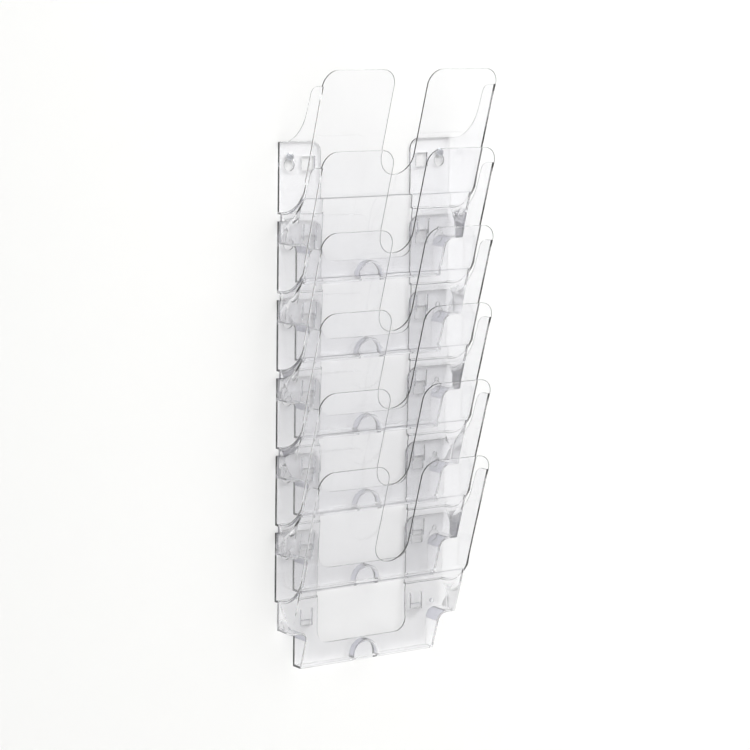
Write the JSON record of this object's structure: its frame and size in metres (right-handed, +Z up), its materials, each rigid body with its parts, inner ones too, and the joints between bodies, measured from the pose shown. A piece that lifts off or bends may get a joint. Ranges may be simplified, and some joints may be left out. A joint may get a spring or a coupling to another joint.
{
  "type": "wall magazine rack",
  "caption": "Wall-mounted rack of overlapping clear magazine pockets with tall front wings, each hung on the one above by pegs, keyholes and snap tongues.",
  "frame": {"origin": "on the wall's surface, midway between the axes of the two wall screws", "axes": "+Z up, +X to the viewer's right, +Y into the wall; the pockets face -Y and the wall is the plane Y = 0"},
  "size_m": [0.24, 0.1315, 0.695],
  "materials": {
    "clear_plastic": "clear polished polystyrene",
    "zinc_steel": "bright zinc plated"
  },
  "bodies": {
    "wall_screws": {"screw_left": "zinc_steel", "screw_right": "zinc_steel"},
    "pocket_1": {"pocket_1": "clear_plastic"},
    "pocket_2": {"pocket_2": "clear_plastic"},
    "pocket_3": {"pocket_3": "clear_plastic"},
    "pocket_4": {"pocket_4": "clear_plastic"},
    "pocket_5": {"pocket_5": "clear_plastic"},
    "pocket_6": {"pocket_6": "clear_plastic"}
  },
  "joints": [
    {"name": "rack_lift", "type": "slide", "parent": "wall_screws", "child": "pocket_1", "axis": [0, 0, 1], "range_m": [0, 0.0095]},
    {"name": "pocket_2_lift", "type": "slide", "parent": "pocket_1", "child": "pocket_2", "axis": [0, 0, 1], "range_m": [0, 0.007]},
    {"name": "pocket_3_lift", "type": "slide", "parent": "pocket_2", "child": "pocket_3", "axis": [0, 0, 1], "range_m": [0, 0.007]},
    {"name": "pocket_4_lift", "type": "slide", "parent": "pocket_3", "child": "pocket_4", "axis": [0, 0, 1], "range_m": [0, 0.007]},
    {"name": "pocket_5_lift", "type": "slide", "parent": "pocket_4", "child": "pocket_5", "axis": [0, 0, 1], "range_m": [0, 0.007]},
    {"name": "pocket_6_lift", "type": "slide", "parent": "pocket_5", "child": "pocket_6", "axis": [0, 0, 1], "range_m": [0, 0.007]}
  ]
}
